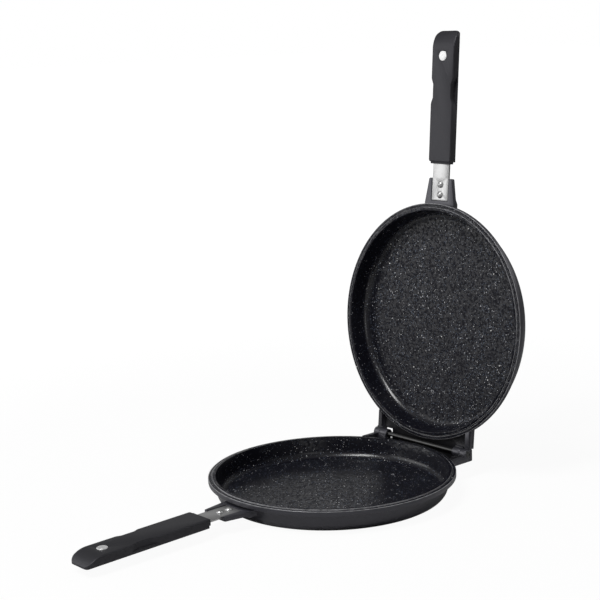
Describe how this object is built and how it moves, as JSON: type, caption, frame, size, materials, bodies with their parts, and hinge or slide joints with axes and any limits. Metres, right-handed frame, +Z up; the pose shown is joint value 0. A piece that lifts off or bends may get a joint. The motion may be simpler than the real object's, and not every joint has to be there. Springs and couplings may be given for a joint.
{
  "type": "double sided flip pan",
  "caption": "Shallow round non-stick pan halves hinged together at the rim, each with a riveted steel strap and a moulded grip that holds a closing magnet.",
  "frame": {"origin": "centre of the lower pan's flat base, on the surface that it stands on", "axes": "+Z up, -Y along the lower handle, +Y towards the hinge, X along the hinge rod"},
  "size_m": [0.25, 0.4892, 0.4557],
  "materials": {
    "pan": "dark satin coat outside, speckled non-stick inside",
    "strap": "brushed",
    "rivet": "polished",
    "grip": "moulded, fine matte",
    "magnet": "plated satin",
    "screw": "plated",
    "rod": "drawn bright"
  },
  "bodies": {
    "lower_half": {"lower_pan": "pan", "lower_handle_strap": "strap", "lower_rivet_inner": "rivet", "lower_rivet_outer": "rivet", "lower_handle_grip": "grip", "lower_handle_magnet": "magnet", "lower_grip_screw": "screw", "hinge_rod": "rod"},
    "upper_half": {"upper_pan": "pan", "upper_handle_strap": "strap", "upper_rivet_inner": "rivet", "upper_rivet_outer": "rivet", "upper_handle_grip": "grip", "upper_handle_magnet": "magnet", "upper_grip_screw": "screw"}
  },
  "joints": [
    {"name": "pan_hinge", "type": "hinge", "parent": "lower_half", "child": "upper_half", "pos_m": [0, 0.13, 0.025], "axis": [1, 0, 0], "range_deg": [0, 96]}
  ]
}
